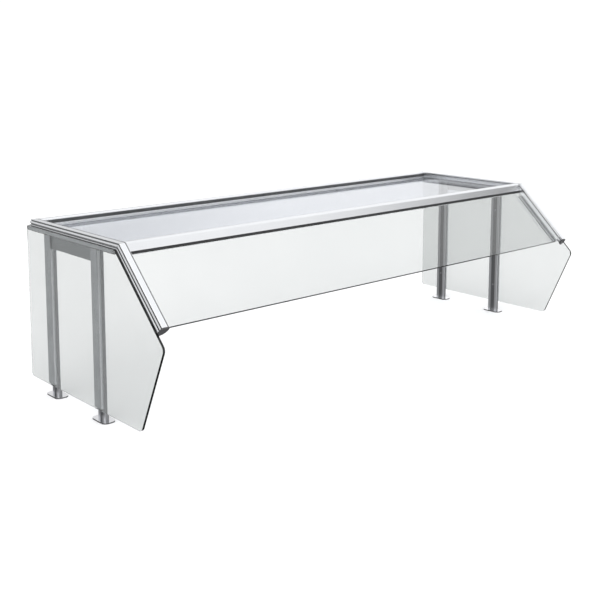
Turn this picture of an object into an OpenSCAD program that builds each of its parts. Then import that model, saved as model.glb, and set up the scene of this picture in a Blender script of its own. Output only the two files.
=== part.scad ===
// Buffet sneeze guard: a framed top glass on four flat posts, with a slanted front
// glass between two arms and a shaped glass panel at each end.
// Origin: middle of the footprint, on the counter. +X runs along the counter,
// -Y faces the customer and +Z is up. Millimetres.

/* [Overall] */
// Length over the outer faces of the end glasses
guard_l = 1524; // [1100:2:1900]
// Height from the counter to the top of the rails
guard_h = 440; // [420:1:520]
// Distance from the rearmost face to the origin plane
rear_y = 305; // [295:1:330]
// Y of the line where the level rails meet the slanted arms
bend_y = -122; // [-150:1:-100]
// Angle of the arms and the front glass below horizontal
arm_slope = 43.7; // [38:0.1:50]
// Length of an arm along its top face
arm_l = 229; // [190:1:250]

/* [Glass] */
// Thickness of every glass panel
glass_t = 6; // [5:0.5:6]
// Depth of the top glass below the rail tops
top_recess = 18; // [16:0.5:18]
// Depth of the front glass below the arms' top faces
front_recess = 21; // [20:0.5:22]
// Distance that the front glass stops short of the arm ends
front_short = 10; // [4:1:30]
// Depth of the end glasses' top edges below the rail tops
end_top = 13.3; // [12.6:0.1:15]
// Depth of an end glass's front corner below the line of the arms' tops
end_nose = 16.8; // [15:0.1:20]
// Y of the front corner of an end glass, before it is rounded
end_front_y = -307.9; // [-312:0.1:-300]
// Y of the lower front corner of an end glass
end_low_y = -214; // [-240:1:-180]
// Height of an end glass's bottom edge above the counter
end_low_z = 31.5; // [20:0.5:60]
// Radius of an end glass's front corners
end_corner_r = 15; // [8:1:20]
// Radius of an end glass's lower rear corner
end_rear_r = 11; // [6:1:15]
// Radius of an end glass's upper rear corner
end_back_r = 6; // [3:1:10]

/* [Posts] */
// Width of a post along Y
post_w = 35; // [32:1:40]
// Thickness of a post along X
post_t = 10; // [10:0.5:11]
// Y of the front posts' centre
post_front_y = -22.7; // [-45:0.1:0]
// Y of the rear posts' centre
post_rear_y = 203.1; // [180:0.1:230]
// Width of the shallow channel down each wide face
channel_w = 15.5; // [13:0.5:16]
// Depth of that channel
channel_d = 2.25; // [1.5:0.25:2.5]
// Length of a foot plate along Y
foot_w = 62; // [56:1:70]
// Width of a foot plate along X
foot_d = 35; // [30:1:37]
// Thickness of a foot plate
foot_t = 3; // [2.5:0.5:5]
// Corner radius of a foot plate
foot_r = 13; // [8:1:14]
// Height of the cross plate that ties two posts under the rail
tie_h = 32; // [24:1:40]

/* [Hidden] */
FINE = 48;
BIG = 2000;
half_l = guard_l / 2;
bond_gap = 0.05;
// rail section, measured outboard from its inner face and down from its top
rail_w = 22;
tape_t = 1;
glass_x = half_l - glass_t;
rail_x = glass_x - tape_t - rail_w;
rail_seat = 24.6;
arm_seat = front_recess + glass_t + 0.6;
seat_in = 12;
seat_t = 1.4;
arm_low = arm_seat + seat_t;
rail_floor = guard_h - rail_seat - seat_t;
lip_w = 18;
lip_t = 1.4;
groove_in = [15.5, 17];
ridge_w = 20.6;
ridge_slope = 1.8;
ridge_top = 3.9;
ridge_low = 8.8;
wall_slope = 1.6;
wall_top = 12.6;
wall_edge = 15;
// groove and bead along the inner face
inner_in = 2.8;
inner_top = 3;
inner_low = 5.4;
bead_low = 8;
inner_wall = 0.8;
// fine groove along the top, near the inner edge
fine_u = [1.4, 3.4];
fine_t = 1.8;
// bevel under an arm's outer wall
arm_bevel = [7, 10];
edge = 0.6;
// hollow bays
bay_low = 3.5;
bay_high = 5.2;
bay_split = 16;
bay_low_w = 13;
bay_high_w = 7.3;
bay_skin = 1.1;
bay_top = 4;
cap_t = 1.5;
end_gap = 0.3;
// curved underside at an arm's free end, and how far up the arm it runs
nose_c = [20, -5.5];
nose_r = 20;
nose_wall = 1.4;
nose_l = 11;
plug_t = 4;
// keys inside the mitres, and how far they run up the side rails
key_l = 65;
key_up = 45;
// long rails
long_w = 18;
long_gap = 0.4;
long_wall = 4;
rear_skin = 3;
rear_bay_low = 15.5;
rear_bay_h = 4.5;
rear_r = 4.5;
rear_in = rear_y - long_w;
front_w = 17;
front_in = bend_y + front_w;
front_low = guard_h - 22.5;
front_step = 5;
front_skin = 3;
front_bay_low = 14.5;
front_bay_h = 8.5;
front_r = [4, 5];
front_top = 20.6;
gasket_h = 7.5;
gasket_lip = 3.5;
gasket_tip = 4.5;
gasket_w = 8;
insert_t = 2;
insert_low = 14;
insert_high = 5.5;
port_r = 2.05;
port_clear_r = 2.2;
port_clear_l = 7;
port_low = 19;
port_high = 7.5;
front_port_y = front_in - 4;
// seals under the loose panels
top_seal_w = 8;
arm_seal_w = 8;
arm_seal_high = 32;
// posts and what is clamped to them
post_x = rail_x + 11.3;
post_face = post_x + post_t / 2;
post_top = rail_floor;
post_r = 2.5;
screw_y = 12.6;
screw_r = 2.5;
bore_gap = 0.25;
cross_r = 2;
strip_t = glass_x - tape_t - post_face;
strip_w = 28;
strip_low = end_low_z + 2;
strip_screw_z = [90, 340];
strip_bore_r = 2.15;
strip_sink_r = 4.1;
strip_sink_t = 1.4;
tie_t = 3;
// screws: shank length, then the head's radius and height
post_screw = [20, 4.2, 2.8];
rail_screw = [24, 3, 1.6];
strip_screw = [14, 3.9, 2.2];
socket_t = 1.4;
shank_gap = 0.05;
// glazing tape between the end glasses and the side rails
rail_tape = [15.8, 24];
tape_front = 15;
tape_rear = 5;

POSTS = [post_front_y, post_rear_y];
SIDES = [-1, 1];

function unit(v) = v / norm(v);
function polar(c, r, a) = c + r * [cos(a), sin(a)];
// arc of radius r that rounds corner p of a counter-clockwise outline a, p, b
function fillet(a, p, b, r, n = 8) =
    let (u = unit(a - p), v = unit(b - p), h = acos(u * v) / 2)
    let (c = p + unit(u + v) * r / sin(h), s = p + u * r / tan(h) - c)
    let (start = atan2(s[1], s[0]), sweep = 180 - 2 * h)
    [for (i = [0 : n]) polar(c, r, start + sweep * i / n)];

// places a right-hand part on either side
module side(s) {
    mirror([s < 0 ? 1 : 0, 0, 0]) children();
}

// stands an X-Z section up and runs it towards -Y from y
module along_y(y, l) {
    translate([0, y, 0]) rotate([90, 0, 0]) linear_extrude(l) children();
}

// runs a Y-Z section along X, centred
module along_x(l) {
    translate([-l / 2, 0, 0]) rotate([90, 0, 90]) linear_extrude(l) children();
}

// section of a side rail or arm; seat is the depth of the ledge that carries glass
module rail_outline(seat) {
    polygon([
        [-seat_in, -seat - seat_t], [rail_w, -seat - seat_t],
        [rail_w, -wall_edge], [rail_w - wall_slope, -wall_top],
        [groove_in[1], -wall_top], [groove_in[1], -ridge_low],
        [ridge_w, -ridge_low], [ridge_w, -ridge_low + 2 * edge],
        [ridge_w - ridge_slope, -ridge_top], [groove_in[0], -ridge_top],
        [groove_in[0], -lip_t], [lip_w, -lip_t],
        [lip_w, -edge], [lip_w - edge, 0],
        [fine_u[1], 0], [fine_u[1], -fine_t],
        [fine_u[0], -fine_t], [fine_u[0], 0],
        [edge, 0], [0, -edge],
        [0, -inner_top], [inner_in, -inner_top],
        [inner_in, -inner_low], [0, -inner_low],
        [0, -bead_low], [inner_wall, -bead_low - edge],
        [inner_wall, -seat], [-seat_in, -seat]
    ]);
}

// hollow of the same section: a lower bay and a narrower upper bay
module rail_hollow(seat) {
    translate([bay_low, -seat + bay_skin])
        square([bay_low_w, seat - bay_skin - bay_split + 0.1]);
    translate([bay_high, -bay_split]) square([bay_high_w, bay_split - bay_top]);
}

module side_section() {
    difference() {
        rail_outline(rail_seat);
        rail_hollow(rail_seat);
    }
}

// an arm's hollow also stays inside the curve of its underside
module arm_section() {
    difference() {
        rail_outline(arm_seat);
        polygon([
            [rail_w - arm_bevel[0], -arm_low], [rail_w, arm_bevel[1] - arm_low],
            [rail_w + 1, arm_bevel[1] - arm_low], [rail_w + 1, -arm_low - 1],
            [rail_w - arm_bevel[0], -arm_low - 1]
        ]);
        intersection() {
            rail_hollow(arm_seat);
            nose(nose_r - nose_wall);
        }
    }
}

module nose(r) {
    translate(nose_c) circle(r = r, $fn = 2 * FINE);
}

// everything behind the mitre plane through the bend
module behind_mitre() {
    translate([0, bend_y, guard_h]) rotate([arm_slope / 2, 0, 0])
        translate([-BIG, 0, -BIG]) cube([2 * BIG, BIG, 2 * BIG]);
}

// everything in front of the mitre plane
module before_mitre() {
    translate([0, bend_y, guard_h]) rotate([arm_slope / 2, 0, 0])
        translate([-BIG, -BIG, -BIG]) cube([2 * BIG, BIG, 2 * BIG]);
}

// arm frame: -Y runs down the arm from the bend and Z is off its top face
module on_arm() {
    translate([0, bend_y, guard_h]) rotate([arm_slope, 0, 0]) children();
}

module side_rail(s) {
    color([0.72, 0.73, 0.75]) side(s) difference() {
        intersection() {
            translate([rail_x, 0, guard_h])
                along_y(rear_y - cap_t, rear_y - bend_y + 20) side_section();
            behind_mitre();
        }
        for (y = POSTS, d = [-screw_y, screw_y])
            translate([post_x, y + d, rail_floor - 1])
                cylinder(h = 4, r = screw_r + bore_gap, $fn = FINE);
        for (z = [port_low, port_high])
            translate([rail_x - 1, rear_y - long_w / 2, guard_h - z])
                rotate([0, 90, 0]) cylinder(h = port_clear_l, r = port_clear_r, $fn = FINE);
        translate([rail_x - 1, front_port_y, guard_h - port_low])
            rotate([0, 90, 0]) cylinder(h = port_clear_l, r = port_clear_r, $fn = FINE);
        // clearance for the level rails' ledges
        translate([rail_x - seat_in - 1, rear_in - seat_in - end_gap, rail_floor - 1])
            cube([seat_in + 1, seat_in + long_w + 1, rail_seat]);
        translate([rail_x - seat_in - 1, bend_y, rail_floor - 1])
            cube([seat_in + 1, front_w + seat_in + end_gap, rail_seat]);
    }
}

module arm(s) {
    color([0.74, 0.75, 0.77]) side(s) difference() {
        intersection() {
            on_arm() translate([rail_x, 0, 0]) along_y(20, arm_l + 20) arm_section();
            before_mitre();
            arm_clear();
        }
        on_arm() translate([rail_x, 0, 0]) along_y(nose_l - arm_l, nose_l + 1) difference() {
            translate([-seat_in - 1, -2 * arm_seat]) square([seat_in + rail_w + 2, 2 * arm_seat]);
            nose(nose_r);
        }
    }
}

// keeps an arm's ledge clear of the front rail and its gasket
module arm_clear() {
    union() {
        translate([rail_x, -BIG, -BIG]) cube(2 * BIG);
        translate([0, bend_y - 5 - BIG, -BIG]) cube([BIG, BIG, 2 * BIG]);
    }
}

// plastic plug over the free end of an arm
module arm_cap(s) {
    color([0.24, 0.24, 0.25]) side(s) on_arm() translate([rail_x, 0, 0])
        along_y(-arm_l, plug_t) intersection() {
            nose(nose_r);
            polygon([
                [0, -arm_low], [rail_w - arm_bevel[0], -arm_low],
                [rail_w, arm_bevel[1] - arm_low], [rail_w, -wall_edge],
                [ridge_w, -ridge_low], [lip_w, -edge], [lip_w - edge, 0], [0, 0]
            ]);
        }
}

// plate over the rear end of a side rail, cut to the rail's own outline
module rail_cap(s) {
    color([0.72, 0.73, 0.75]) side(s) translate([rail_x, 0, guard_h])
        along_y(rear_y, cap_t) intersection() {
            rail_outline(rail_seat);
            translate([0, -guard_h]) square([rail_w, guard_h]);
        }
}

// key inside the mitre between a side rail and its arm
module corner_key(s) {
    color([0.5, 0.5, 0.52]) side(s) union() {
        intersection() {
            translate([rail_x, 0, guard_h]) along_y(bend_y + key_up, key_l) key_section();
            behind_mitre();
        }
        intersection() {
            on_arm() translate([rail_x, 0, 0]) along_y(key_l - key_up, key_l) key_section();
            before_mitre();
        }
    }
}

module key_section() {
    translate([bay_high + 0.2, -bay_split + 0.2])
        square([bay_high_w - 0.4, bay_split - bay_top - 0.4]);
}

module rear_rail() {
    corner = [rear_in, guard_h];
    color([0.7, 0.71, 0.74]) along_x(2 * rail_x) difference() {
        polygon(concat(
            [[rear_in - seat_in, rail_floor], [rear_y, rail_floor]],
            fillet([rear_y, rail_floor], [rear_y, guard_h], corner, rear_r),
            fillet([rear_y, guard_h], corner, [rear_in, rail_floor], rear_r),
            [[rear_in, rail_floor + seat_t], [rear_in - seat_in, rail_floor + seat_t]]
        ));
        translate([rear_in + long_wall, guard_h - rear_bay_low])
            square([long_w - long_wall - rear_skin, rear_bay_h]);
        translate([rear_in - 1, guard_h - insert_low])
            square([insert_t + 1, insert_low - insert_high]);
        for (z = [port_low, port_high])
            translate([rear_y - long_w / 2, guard_h - z]) circle(r = port_r, $fn = FINE);
    }
}

// rubber insert in the inner face of the rear rail
module rear_insert() {
    color([0.08, 0.08, 0.09]) translate([-rail_x, rear_in, guard_h - insert_low])
        cube([2 * rail_x, insert_t, insert_low - insert_high]);
}

module front_rail() {
    corner = [bend_y, guard_h];
    color([0.78, 0.79, 0.8]) along_x(2 * rail_x) difference() {
        polygon(concat(
            [[bend_y, front_low], [front_in - front_step, front_low]],
            [[front_in - front_step, rail_floor], [front_in + seat_in, rail_floor]],
            [[front_in + seat_in, rail_floor + seat_t], [front_in, rail_floor + seat_t]],
            fillet([front_in, rail_floor], [front_in, guard_h], corner, front_r[0]),
            fillet([front_in, guard_h], corner, [bend_y, front_low], front_r[1])
        ));
        translate([bend_y + front_skin, guard_h - front_bay_low])
            square([front_w - 2 * front_skin, front_bay_h]);
        translate([front_port_y, guard_h - port_low]) circle(r = port_r, $fn = FINE);
    }
}

// soft strip under the front rail that the front glass butts against
module front_gasket() {
    low = front_low - gasket_h;
    color([0.08, 0.08, 0.09]) difference() {
        along_x(2 * rail_x) polygon([
            [bend_y, front_low], [bend_y, low],
            [bend_y + gasket_tip, low - gasket_lip], [bend_y + gasket_w, low],
            [front_in - front_step, front_low]
        ]);
        on_arm() translate([-BIG, -front_top - BIG, -front_recess - glass_t - 20])
            cube([2 * BIG, BIG, glass_t + 40]);
    }
}

module front_glass() {
    w = rail_x + inner_wall - end_gap;
    color([0.85, 0.93, 0.9, 0.35]) on_arm()
        translate([-w, -arm_l + front_short, -front_recess - glass_t])
            cube([2 * w, arm_l - front_short - front_top, glass_t]);
}

module top_glass() {
    y0 = front_in + long_gap;
    w = rail_x - long_gap;
    color([0.85, 0.93, 0.95, 0.35])
        translate([-w, y0, guard_h - top_recess - glass_t])
            cube([2 * w, rear_in - long_gap - y0, glass_t]);
}

// four flat seal strips on the ledges, under the top glass
module top_seal() {
    z = guard_h - rail_seat;
    h = rail_seat - top_recess - glass_t - bond_gap;
    x = rail_x - 1;
    y0 = front_in + 1;
    y1 = rear_in - 1;
    w = top_seal_w;
    color([0.12, 0.12, 0.12]) translate([0, 0, z]) {
        for (y = [y0, y1 - w]) translate([-x, y, 0]) cube([2 * x, w, h]);
        for (s = SIDES) side(s) translate([x - w, y0 + w + end_gap, 0])
            cube([w, y1 - y0 - 2 * w - 2 * end_gap, h]);
    }
}

// soft strips on the arm ledges, under the front glass
module arm_seal(s) {
    h = arm_seat - front_recess - glass_t - bond_gap;
    color([0.12, 0.12, 0.12]) side(s) on_arm()
        translate([rail_x - arm_seal_w - 1, -arm_l + nose_l + 1, -arm_seat])
            cube([arm_seal_w, arm_l - nose_l - 1 - arm_seal_high, h]);
}

// shaped panel: level along the rail, sloping past the arm to a blunt nose, then back to the foot
function end_outline() =
    let (top_z = guard_h - end_top)
    let (bend = [bend_y + end_top * tan(arm_slope / 2), top_z])
    let (nose_z = guard_h - (bend_y - end_front_y) * tan(arm_slope) - end_nose / cos(arm_slope))
    let (nose = [end_front_y, nose_z], low = [end_low_y, end_low_z])
    let (heel = [rear_y - 1, end_low_z], back = [rear_y - 1, top_z])
    concat(
        fillet(bend, nose, low, end_corner_r),
        fillet(nose, low, heel, end_corner_r),
        fillet(low, heel, back, end_rear_r),
        fillet(heel, back, bend, end_back_r),
        [bend]
    );

module end_glass(s) {
    color([0.85, 0.93, 0.9, 0.35]) side(s)
        translate([glass_x, 0, 0]) rotate([90, 0, 90]) linear_extrude(glass_t)
            polygon(end_outline());
}

// flat post with a shallow channel down each wide face and two screw ports
module post(s, y) {
    color([0.62, 0.64, 0.66]) side(s) translate([post_x, y, 0]) difference() {
        translate([0, 0, foot_t]) linear_extrude(post_top - foot_t) difference() {
            post_outline();
            for (d = [-screw_y, screw_y]) translate([0, d]) circle(r = screw_r, $fn = FINE);
        }
        for (z = strip_screw_z)
            translate([-BIG / 100, 0, z]) rotate([0, 90, 0]) cylinder(h = BIG / 50, r = cross_r, $fn = FINE);
    }
}

module post_outline() {
    r = post_r;
    x = post_t / 2;
    w = post_w / 2;
    c = channel_w / 2;
    polygon(concat(
        [[x, -c], [x - channel_d, -c], [x - channel_d, c], [x, c]],
        fillet([x, c], [x, w], [-x, w], r),
        fillet([x, w], [-x, w], [-x, c], r),
        [[-x, c], [-x + channel_d, c], [-x + channel_d, -c], [-x, -c]],
        fillet([-x, -c], [-x, -w], [x, -w], r),
        fillet([-x, -w], [x, -w], [x, -c], r)
    ));
}

module foot(s, y) {
    color([0.86, 0.86, 0.88]) side(s) translate([post_x, y, 0])
        linear_extrude(foot_t) difference() {
            union() {
                square([foot_d - 2 * foot_r, foot_w], center = true);
                square([foot_d, foot_w - 2 * foot_r], center = true);
                for (i = [-1, 1], j = [-1, 1])
                    translate([i * (foot_d / 2 - foot_r), j * (foot_w / 2 - foot_r)])
                        circle(r = foot_r, $fn = FINE);
            }
            for (d = [-screw_y, screw_y]) translate([0, d]) circle(r = screw_r, $fn = FINE);
        }
}

// strip that spaces and bonds an end glass to a post
module strip(s, y) {
    color([0.7, 0.71, 0.73]) side(s) difference() {
        translate([post_face, y - strip_w / 2, strip_low])
            cube([strip_t, strip_w, post_top - strip_low]);
        for (z = strip_screw_z) translate([post_face - 1, y, z]) rotate([0, 90, 0])
            union() {
                cylinder(h = strip_t + 2, r = strip_bore_r, $fn = FINE);
                translate([0, 0, strip_t - strip_sink_t])
                    cylinder(h = 2 * strip_sink_t, r = strip_sink_r, $fn = FINE);
            }
    }
}

module strip_tape(s, y) {
    color([0.55, 0.56, 0.57]) side(s)
        translate([glass_x - tape_t, y - strip_w / 2, strip_low])
            cube([tape_t - bond_gap, strip_w, post_top - strip_low]);
}

// glazing tape between an end glass and its side rail
module edge_tape(s) {
    color([0.5, 0.51, 0.52]) side(s)
        translate([rail_x + rail_w, bend_y + tape_front, guard_h - rail_tape[1]])
            cube([
                tape_t - bond_gap, rear_y - bend_y - tape_front - tape_rear,
                rail_tape[1] - rail_tape[0]
            ]);
}

// plate that ties the front and rear posts together under the side rail
module tie_plate(s) {
    y0 = post_front_y + strip_w / 2;
    y1 = post_rear_y - strip_w / 2;
    color([0.6, 0.62, 0.64]) side(s)
        translate([post_face, y0, post_top - tie_h]) cube([tie_t, y1 - y0, tie_h]);
}

// pan-head screw pointing along -Z, with its head resting on z = 0
module screw(shank_r, size) {
    l = size[0];
    head_r = size[1];
    head_h = size[2];
    difference() {
        union() {
            cylinder(h = head_h, r = head_r, $fn = FINE);
            translate([0, 0, -l]) cylinder(h = l, r = shank_r, $fn = FINE);
        }
        translate([0, 0, head_h - socket_t]) cylinder(h = 2 * socket_t, r = head_r * 0.45, $fn = 6);
    }
}

module post_screws() {
    color([0.45, 0.45, 0.47]) for (s = SIDES, y = POSTS, d = [-screw_y, screw_y])
        side(s) translate([post_x, y + d, guard_h - rail_seat + 1.1])
            screw(screw_r - shank_gap, post_screw);
}

module rail_screws() {
    color([0.45, 0.45, 0.47]) for (s = SIDES) side(s) {
        for (p = [[bay_low, port_low], [bay_high, port_high]])
            translate([rail_x + p[0], rear_y - long_w / 2, guard_h - p[1]])
                rotate([0, 90, 0]) screw(port_r - shank_gap, rail_screw);
        translate([rail_x + bay_low, front_port_y, guard_h - port_low])
            rotate([0, 90, 0]) screw(port_r - shank_gap, rail_screw);
    }
}

module strip_screws() {
    color([0.45, 0.45, 0.47]) for (s = SIDES, y = POSTS, z = strip_screw_z)
        side(s) translate([post_face + strip_t - 2.4, y, z])
            rotate([0, 90, 0]) screw(cross_r - shank_gap, strip_screw);
}

rear_rail();
front_rail();
side_rail(-1);  // side_rail_left
side_rail(1);  // side_rail_right
arm(-1);  // arm_left
arm(1);  // arm_right
arm_cap(-1);  // arm_cap_left
arm_cap(1);  // arm_cap_right
rail_cap(-1);  // rail_cap_left
rail_cap(1);  // rail_cap_right
corner_key(-1);  // corner_key_left
corner_key(1);  // corner_key_right
post(-1, post_front_y);  // post_front_left
post(-1, post_rear_y);  // post_rear_left
post(1, post_front_y);  // post_front_right
post(1, post_rear_y);  // post_rear_right
foot(-1, post_front_y);  // foot_front_left
foot(-1, post_rear_y);  // foot_rear_left
foot(1, post_front_y);  // foot_front_right
foot(1, post_rear_y);  // foot_rear_right
strip(-1, post_front_y);  // strip_front_left
strip(-1, post_rear_y);  // strip_rear_left
strip(1, post_front_y);  // strip_front_right
strip(1, post_rear_y);  // strip_rear_right
for (s = SIDES, y = POSTS) strip_tape(s, y);  // strip_tapes
for (s = SIDES) edge_tape(s);  // edge_tapes
tie_plate(-1);  // tie_plate_left
tie_plate(1);  // tie_plate_right
top_glass();
top_seal();
front_glass();
front_gasket();
rear_insert();
arm_seal(-1);  // arm_seal_left
arm_seal(1);  // arm_seal_right
end_glass(-1);  // end_glass_left
end_glass(1);  // end_glass_right
post_screws();
rail_screws();
strip_screws();
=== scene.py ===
import math

import bpy
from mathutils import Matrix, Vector


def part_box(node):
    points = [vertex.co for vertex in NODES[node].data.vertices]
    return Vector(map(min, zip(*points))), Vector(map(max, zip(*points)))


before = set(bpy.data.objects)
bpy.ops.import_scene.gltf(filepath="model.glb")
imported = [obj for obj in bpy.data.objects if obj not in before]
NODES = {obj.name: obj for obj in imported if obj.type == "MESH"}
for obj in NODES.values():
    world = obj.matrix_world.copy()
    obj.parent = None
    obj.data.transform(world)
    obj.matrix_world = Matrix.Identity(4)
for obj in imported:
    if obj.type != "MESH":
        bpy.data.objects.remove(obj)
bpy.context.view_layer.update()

SIDES = ("left", "right")
ENDS = [f"{row}_{side}" for side in SIDES for row in ("front", "rear")]

STREAKS = 1500  # noise scale across the brushing
ALONG = 0.006  # and along it, as a share of that
GROOVE_SHADE_REACH = 0.005  # how far off a facing surface still darkens a groove with painted shade
EDGE_OUTLINE_REACH = 0.0012  # width of the painted dark outline at an edge, a painted shade
ARM_SLOPE = math.radians(43.7)
LOOK_DOWN, TURN_RIGHT = 7.52, 41.68  # the camera's, in degrees
FLOOR_HALF = 14.0
ROOM_WHITE = (0.985, 0.99, 1.0, 1)


# ---------------------------------------------------------------- node helpers
class Graph:
    """The node tree of a material or a world, with a short way to add and link nodes."""

    def __init__(self, owner, output):
        owner.use_nodes = True
        self.owner = owner
        self.tree = owner.node_tree
        self.tree.nodes.clear()
        self.out = self.add(output)

    def add(self, kind, inputs=None, **props):
        """A new node; each input takes another node's output or a plain value."""
        n = self.tree.nodes.new(kind)
        for k, v in props.items():
            setattr(n, k, v)
        for k, v in (inputs or {}).items():
            if isinstance(v, bpy.types.NodeSocket):
                self.tree.links.new(v, n.inputs[k])
            else:
                n.inputs[k].default_value = v
        return n

    def math(self, op, *values):
        return self.add("ShaderNodeMath", dict(enumerate(values)), operation=op).outputs[0]

    def dot(self, a, b):
        n = self.add("ShaderNodeVectorMath", {0: a, 1: b}, operation="DOT_PRODUCT")
        return n.outputs["Value"]

    def part(self, axis, vector):
        return self.add("ShaderNodeSeparateXYZ", {0: vector}).outputs[axis]

    def place(self, kind):
        return self.add("ShaderNodeTexCoord").outputs[kind]

    def geometry(self, kind):
        return self.add("ShaderNodeNewGeometry").outputs[kind]

    def remap(self, value, start, end, a=0.0, b=1.0, ease="LINEAR"):
        """a where value is at start, going to b at end, and no further on either side."""
        n = self.add(
            "ShaderNodeMapRange",
            {"Value": value, "From Min": start, "From Max": end, "To Min": a, "To Max": b},
            interpolation_type=ease,
        )
        return n.outputs["Result"]

    def noise(self, scale, detail=3.0, stretch=(1, 1, 1), rough=0.5):
        m = self.add("ShaderNodeMapping", {"Vector": self.place("Object"), "Scale": stretch})
        n = self.add(
            "ShaderNodeTexNoise",
            {"Vector": m.outputs[0], "Scale": scale, "Detail": detail, "Roughness": rough},
        )
        return n.outputs["Fac"]

    def tint(self, value, low, high):
        """A colour between low and high as value goes from 0.3 to 0.7."""
        r = self.add("ShaderNodeValToRGB", {"Fac": value})
        for stop, position, colour in zip(r.color_ramp.elements, (0.3, 0.7), (low, high)):
            stop.position = position
            stop.color = (*colour, 1)
        return r.outputs["Color"]

    def blend(self, share, a, b):
        """Colour a where share is 0 and colour b where it is 1."""
        a, b = ((*c, 1) if isinstance(c, tuple) else c for c in (a, b))
        n = self.add("ShaderNodeMix", {"Factor": share, "A": a, "B": b}, data_type="RGBA")
        return n.outputs["Result"]

    def eased(self, radius, samples=6):
        """The normal, turned near edges as if they were rounded to a radius."""
        return self.add("ShaderNodeBevel", {"Radius": radius}, samples=samples).outputs[0]

    def open_air(self, reach, alone):
        """1 on open faces, falling to 0 deep in a groove; alone leaves out other pieces."""
        n = self.add(
            "ShaderNodeAmbientOcclusion", {"Distance": reach}, samples=8, only_local=alone
        )
        return self.remap(n.outputs["AO"], 0.35, 0.85)

    def edges(self, reach):
        """0 on flat faces, rising to 1 at edges."""
        turned = self.dot(self.eased(reach), self.geometry("True Normal"))
        return self.remap(turned, 0.99, 0.85)

    def bump(self, height, strength, depth, normal):
        n = self.add(
            "ShaderNodeBump",
            {"Height": height, "Strength": strength, "Distance": depth, "Normal": normal},
        )
        return n.outputs[0]

    def finish(self, shader):
        self.tree.links.new(shader, self.out.inputs["Surface"])
        return self.owner

    def principled(self, inputs):
        return self.finish(self.add("ShaderNodeBsdfPrincipled", inputs).outputs[0])


def new_material(name):
    return Graph(bpy.data.materials.new(name), "ShaderNodeOutputMaterial")


def shade(colour, share):
    return tuple(c * share for c in colour)


# ---------------------------------------------------------------- kinds of material
def brushed(name, rough, along, radius, paint):
    """Metal with streaks along one axis, soft marks and eased edges; paint gives its colour."""
    g = new_material(name)
    lines = g.noise(STREAKS, 2.0, [ALONG if axis == along else 1.0 for axis in "XYZ"], 0.6)
    marks = g.noise(9, 4.0)
    wear = g.math("ADD", g.math("MULTIPLY", lines, 0.6), g.math("MULTIPLY", marks, 0.4))
    return g.principled(
        {
            "Base Color": paint(g, wear),
            "Metallic": 1.0,
            "Roughness": g.remap(wear, 0, 1, rough - 0.06, rough + 0.06),
            "Normal": g.bump(lines, 0.25, 0.00002, g.eased(radius)),
        }
    )


def metal(name, low, high, rough, along, shade_share=0.3, alone=False):
    """Drawn or brushed metal; its grooves and edges are painted darker, to the given share of
    the colour: painted shade in the grooves and a painted dark outline at the edges.
    """

    def paint(g, wear):
        colour = g.tint(wear, low, high)
        if shade_share < 1:
            dark = g.tint(wear, shade(low, shade_share), shade(high, shade_share))
            # painted shade: darker deep in grooves, and a painted dark outline along edges
            colour = g.blend(g.open_air(GROOVE_SHADE_REACH, alone), dark, colour)
            colour = g.blend(g.edges(EDGE_OUTLINE_REACH), colour, dark)
        return colour

    return brushed(name, rough, along, 0.0004, paint)


def post_metal(name, low, high, rough, centre, half):
    """Satin posts, bright on the two broad faces, with painted shade darkening the channels and
    the narrow faces between.

    The posts stand at centre to the left and the right, and are twice half thick.
    """

    def paint(g, wear):
        across = g.math("ABSOLUTE", g.part("X", g.place("Object")))
        off = g.math("ABSOLUTE", g.math("SUBTRACT", across, centre))
        # painted shade: a darker copy of the satin colour for the channels and the narrow faces
        dark = g.tint(wear, shade(low, 0.34), shade(high, 0.36))
        return g.blend(g.remap(off, half * 0.8, half * 0.97), dark, g.tint(wear, low, high))

    return brushed(name, rough, "Z", 0.0005, paint)


def polished(name, low, high, rough, painted_rim_reflection=None):
    """Bright metal with faint smears; the rim colour is a painted dark reflection, painted on
    faces that stand upright.
    """
    g = new_material(name)
    smear = g.noise(35, 4.0)
    colour = g.tint(smear, low, high)
    # painted reflection: faces that stand upright get the dark rim colour
    if painted_rim_reflection:
        level = g.remap(g.part("Z", g.geometry("True Normal")), 0.3, 0.6)
        colour = g.blend(level, painted_rim_reflection, colour)
    return g.principled(
        {
            "Base Color": colour,
            "Metallic": 1.0,
            "Roughness": g.remap(smear, 0, 1, rough * 0.5, rough * 1.6),
            "Normal": g.eased(0.0008),
        }
    )


def dull(name, low, high, rough, grain, depth):
    """Rubber, foam or moulded plastic: a fine grain and slight colour variation."""
    g = new_material(name)
    grains = g.noise(grain, 4.0, rough=0.7)
    return g.principled(
        {
            "Base Color": g.tint(g.noise(12, 2.0), low, high),
            "Roughness": g.remap(grains, 0, 1, rough - 0.06, rough + 0.06),
            "Normal": g.bump(grains, 0.4, depth, g.eased(0.0006, samples=4)),
        }
    )


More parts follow.
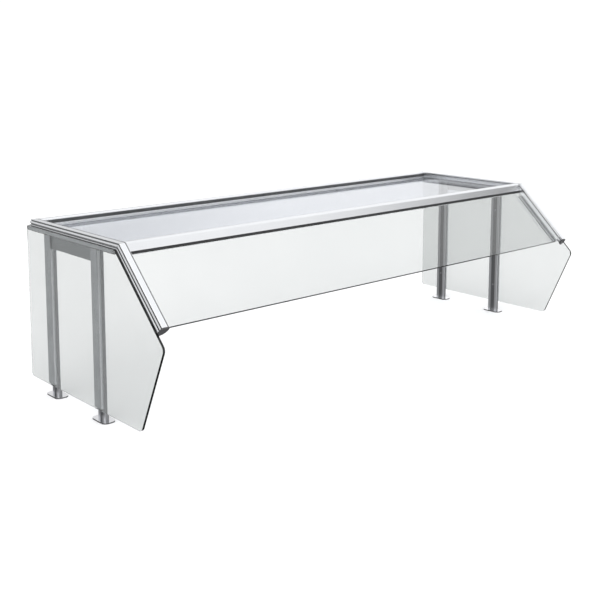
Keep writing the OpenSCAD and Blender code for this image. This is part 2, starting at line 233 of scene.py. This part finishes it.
def glass(name, face, edge, axis, slant=None):
    """A clear pane: tinted faces across axis, darker edges, and shadows that let light through.

    slant is (from, to, colour): the tint goes to colour as the pane turns from the one Layer
    Weight facing value to the other, since a slanting path through the glass is longer.
    """
    g = new_material(name)
    tint = g.tint(g.noise(6, 3.0), *face)
    if slant:
        start, end, colour = slant
        turn = g.add("ShaderNodeLayerWeight", {"Blend": 0.5}).outputs["Facing"]
        tint = g.blend(g.remap(turn, start, end), tint, colour)
    on_face = g.math("ABSOLUTE", g.dot(g.geometry("Normal"), axis))
    pane = g.add(
        "ShaderNodeBsdfPrincipled",
        {
            "Base Color": g.blend(g.math("LESS_THAN", on_face, 0.7), tint, edge),
            "Roughness": 0.0,
            "IOR": 1.5,
            "Transmission Weight": 1.0,
        },
    )
    clear = g.add("ShaderNodeBsdfTransparent", {"Color": (0.95, 0.955, 0.955, 1)}).outputs[0]
    path = g.add("ShaderNodeLightPath")
    shader = pane.outputs[0]
    for ray in ("Is Diffuse Ray", "Is Shadow Ray"):
        share = path.outputs[ray]
        shader = g.add("ShaderNodeMixShader", {0: share, 1: shader, 2: clear}).outputs[0]
    return g.finish(shader)


def dress(material, *names):
    """Gives CAD nodes a material."""
    for n in names:
        o = NODES[n]
        if not o.material_slots:
            o.data.materials.append(material)
        for s in o.material_slots:
            s.material = material


def both(*parts):
    """The left and the right node of each part."""
    return [f"{part}_{side}" for part in parts for side in SIDES]


def four(part):
    """The node of a part at each of the four posts."""
    return [f"{part}_{end}" for end in ENDS]


def add_object(name, data):
    o = bpy.data.objects.new(name, data)
    bpy.context.collection.objects.link(o)
    return o


# ---------------------------------------------------------------- camera
cam = add_object("camera", bpy.data.cameras.new("camera"))
bpy.context.scene.camera = cam
cam.location = (-1.8839, -2.0002, 0.8672)
cam.rotation_euler = (math.radians(90 - LOOK_DOWN), 0, math.radians(-TURN_RIGHT))
cam.data.lens = 59.1
cam.data.sensor_width = 36
cam.data.shift_y = -0.2
cam.data.clip_end = 100

# ---------------------------------------------------------------- the pieces' materials
BRIGHT = ((0.78, 0.79, 0.81), (0.86, 0.87, 0.88))
SATIN = ((0.60, 0.61, 0.63), (0.70, 0.71, 0.73))

# the rails, strips and corner keys get painted shade in their grooves and a painted dark
# outline at their edges
dress(metal("rail_bright_x", *BRIGHT, 0.24, "X", alone=True), "rear_rail", "front_rail")
dress(metal("rail_bright_y", *BRIGHT, 0.24, "Y"), *both("side_rail", "arm", "rail_cap"))
lo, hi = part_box("post_front_right")
dress(
    post_metal("post_satin", *SATIN, 0.3, (lo[0] + hi[0]) / 2, (hi[0] - lo[0]) / 2),
    *four("post"),
)
dress(metal("strip_satin", *SATIN, 0.36, "Z"), *four("strip"))
dress(
    # share 1: no painted shade in the tie plates' grooves or at their edges
    metal("tie_satin", (0.30, 0.31, 0.32), (0.34, 0.35, 0.36), 0.38, "Y", shade_share=1),
    *both("tie_plate"),
)
dress(
    # the last colour is the painted dark reflection on the feet's upright edges
    polished("foot_chrome", (0.86, 0.86, 0.88), (0.92, 0.92, 0.93), 0.05, (0.12, 0.12, 0.125)),
    *four("foot"),
)
dress(
    polished("screw_steel", (0.45, 0.45, 0.47), (0.55, 0.55, 0.57), 0.3),
    "post_screws", "rail_screws", "strip_screws",
)
dress(metal("key_mill", (0.5, 0.5, 0.52), (0.6, 0.6, 0.62), 0.45, "Y"), *both("corner_key"))
dress(
    dull("seal_rubber", (0.012, 0.012, 0.013), (0.022, 0.022, 0.024), 0.6, 900, 0.00006),
    "front_gasket",
)
dress(
    dull("cap_plastic", (0.035, 0.035, 0.038), (0.055, 0.055, 0.058), 0.45, 600, 0.00008),
    *both("arm_cap"),
)
dress(
    dull("tape_foam", (0.27, 0.28, 0.29), (0.33, 0.34, 0.35), 0.8, 1200, 0.0001),
    "strip_tapes", "edge_tapes", "top_seal", *both("arm_seal"),
)
dress(
    dull("insert_rubber", (0.045, 0.047, 0.05), (0.07, 0.072, 0.076), 0.5, 900, 0.00006),
    "rear_insert",
)
dress(
    glass(
        "glass_top",
        face=((0.62, 0.64, 0.67), (0.65, 0.67, 0.70)),
        edge=(0.2, 0.25, 0.24),
        axis=(0, 0, 1),
        slant=(0.62, 0.82, (0.455, 0.485, 0.545)),
    ),
    "top_glass",
)
dress(
    glass(
        "glass_front",
        face=((0.72, 0.73, 0.725), (0.745, 0.755, 0.75)),
        edge=(0.05, 0.055, 0.055),
        axis=(0, -math.sin(ARM_SLOPE), math.cos(ARM_SLOPE)),
        slant=(0.27, 0.37, (0.665, 0.68, 0.675)),
    ),
    "front_glass",
)
dress(
    glass(
        "glass_end",
        face=((0.70, 0.712, 0.707), (0.725, 0.737, 0.732)),
        edge=(0.02, 0.025, 0.024),
        axis=(1, 0, 0),
    ),
    *both("end_glass"),
)

# ---------------------------------------------------------------- stage and light
floor_mesh = bpy.data.meshes.new("floor")
corners = [(x * FLOOR_HALF, y * FLOOR_HALF, 0) for x, y in ((-1, -1), (1, -1), (1, 1), (-1, 1))]
floor_mesh.from_pydata(corners, [], [(0, 1, 2, 3)])
floor_mesh.materials.append(
    new_material("floor_white").principled(
        {"Base Color": (0.9, 0.9, 0.9, 1), "Roughness": 0.9, "Specular IOR Level": 0.1}
    )
)
floor = add_object("floor", floor_mesh)
floor.visible_glossy = False


def studio():
    """A soft white room, with grey low down so that metal and glass have something to mirror.

    The camera itself sees plain white.
    """
    g = Graph(bpy.data.worlds.new("studio"), "ShaderNodeOutputWorld")
    direction = g.place("Generated")
    up = g.part("Z", direction)

    def towards(x, y, start, end, a, b):
        """A strength that goes from a to b as the direction turns towards (x, y)."""
        return g.remap(g.dot(direction, (x, y, 0)), start, end, a, b, "SMOOTHSTEP")

    front = towards(-0.609, -0.793, -0.025, 0.145, 0.25, 1.1)
    back = towards(0, -1, -0.1, 0.3, 0.4, 1.1)
    middle = towards(0.8, -0.6, -0.13, 0.08, 0.79, 1.1)
    near = g.remap(up, -0.02, 0.14, g.math("MINIMUM", front, back), middle, "SMOOTHSTEP")
    level = g.remap(up, 0.35, 0.65, near, 1.15, "SMOOTHSTEP")
    room = g.add("ShaderNodeBackground", {"Color": ROOM_WHITE, "Strength": level})
    white = g.add("ShaderNodeBackground", {"Color": (1, 1, 1, 1), "Strength": 1.05})
    seen = g.add("ShaderNodeLightPath").outputs["Is Camera Ray"]
    mix = g.add("ShaderNodeMixShader", {0: seen, 1: room.outputs[0], 2: white.outputs[0]})
    return g.finish(mix.outputs[0])


bpy.context.scene.world = studio()

sun = add_object("sun", bpy.data.lights.new("sun", "SUN"))
sun.data.energy = 1.1
sun.data.angle = math.radians(70)
sun.rotation_euler = Vector((-0.5, -0.5, 1.0)).to_track_quat("Z", "Y").to_euler()

bpy.context.scene.view_settings.view_transform = "Standard"
